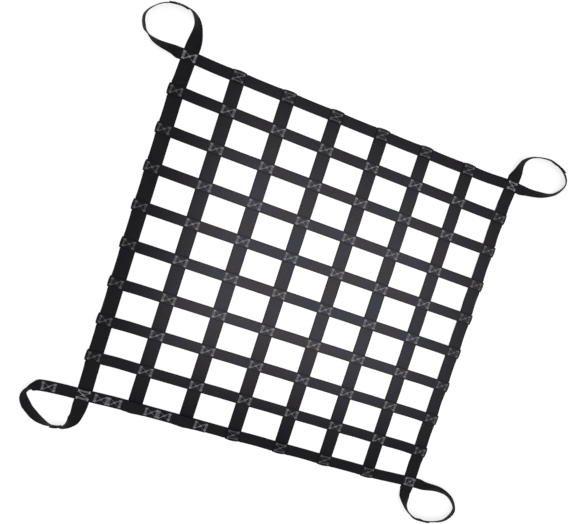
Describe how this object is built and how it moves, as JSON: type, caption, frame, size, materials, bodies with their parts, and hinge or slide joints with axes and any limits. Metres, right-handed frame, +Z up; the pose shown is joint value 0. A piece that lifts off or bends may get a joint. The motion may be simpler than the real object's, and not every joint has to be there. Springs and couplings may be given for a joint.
{
  "type": "cargo lifting net",
  "caption": "Flat open-mesh cargo net of crossed black webbing straps sewn at every crossing, with a standing lifting loop at each corner.",
  "frame": {"origin": "middle of the net's box, on the ground it lies on", "axes": "+X along the cross straps, +Y along the long straps, +Z up from the ground"},
  "size_m": [1.651, 1.4552, 0.0501],
  "materials": {
    "webbing": "matt black woven webbing",
    "thread": "pale grey sewing thread"
  },
  "bodies": {
    "root": {"long_strap_1": "webbing", "long_strap_2": "webbing", "long_strap_3": "webbing", "long_strap_4": "webbing", "long_strap_5": "webbing", "long_strap_6": "webbing", "cross_strap_1": "webbing", "cross_strap_2": "webbing", "cross_strap_3": "webbing", "cross_strap_4": "webbing", "cross_strap_5": "webbing", "cross_strap_6": "webbing", "cross_strap_7": "webbing", "cross_strap_8": "webbing", "side_strap_left": "webbing", "side_strap_right": "webbing", "end_strap_top": "webbing", "end_strap_bottom": "webbing", "end_strap_lap": "webbing"}
  },
  "joints": []
}
